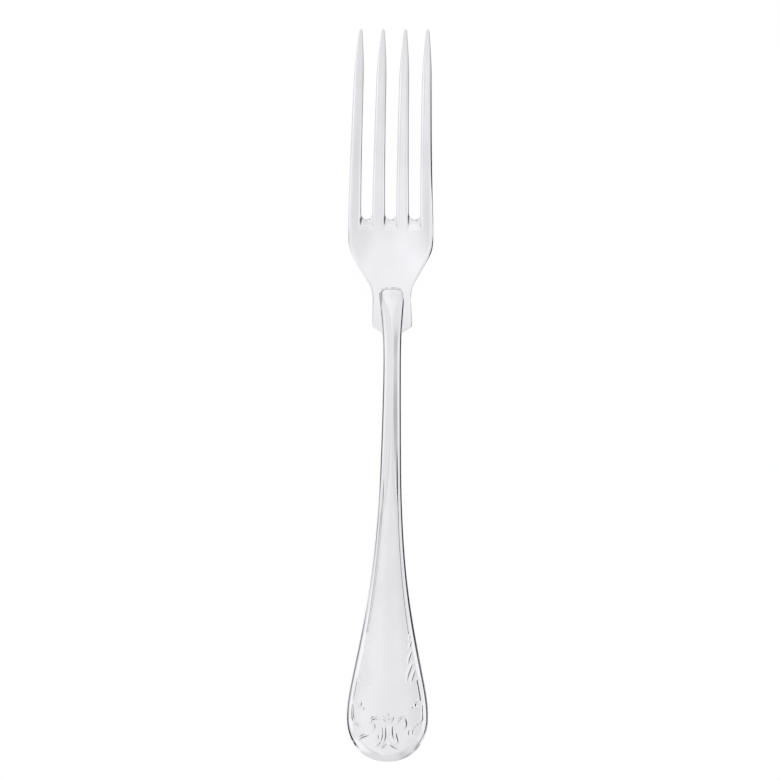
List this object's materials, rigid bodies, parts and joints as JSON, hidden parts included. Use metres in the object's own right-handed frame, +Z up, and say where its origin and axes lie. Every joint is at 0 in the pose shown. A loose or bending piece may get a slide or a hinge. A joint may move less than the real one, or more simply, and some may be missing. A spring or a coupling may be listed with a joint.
{
  "type": "lunch fork",
  "caption": "Table fork with slender tines, a dished bowl and a shouldered heel, on a filled handle of soldered halves with a thread border and scroll ornament; lifts and cuts food.",
  "frame": {"origin": "middle of the fork's length and width, on the table it lies on", "axes": "+Y along the fork towards the tine points, +Z up out of the front face, +X to the right of a person who looks down on the front with the points away from them"},
  "size_m": [0.021, 0.1801, 0.0137],
  "materials": {
    "head_silver": "polished",
    "handle_silver": "polished",
    "filler_cement": "matte",
    "solder": "satin"
  },
  "bodies": {
    "root": {"fork_head": "head_silver", "handle_front": "handle_silver", "handle_back": "handle_silver", "handle_filler": "filler_cement", "seam_solder": "solder"}
  },
  "joints": []
}
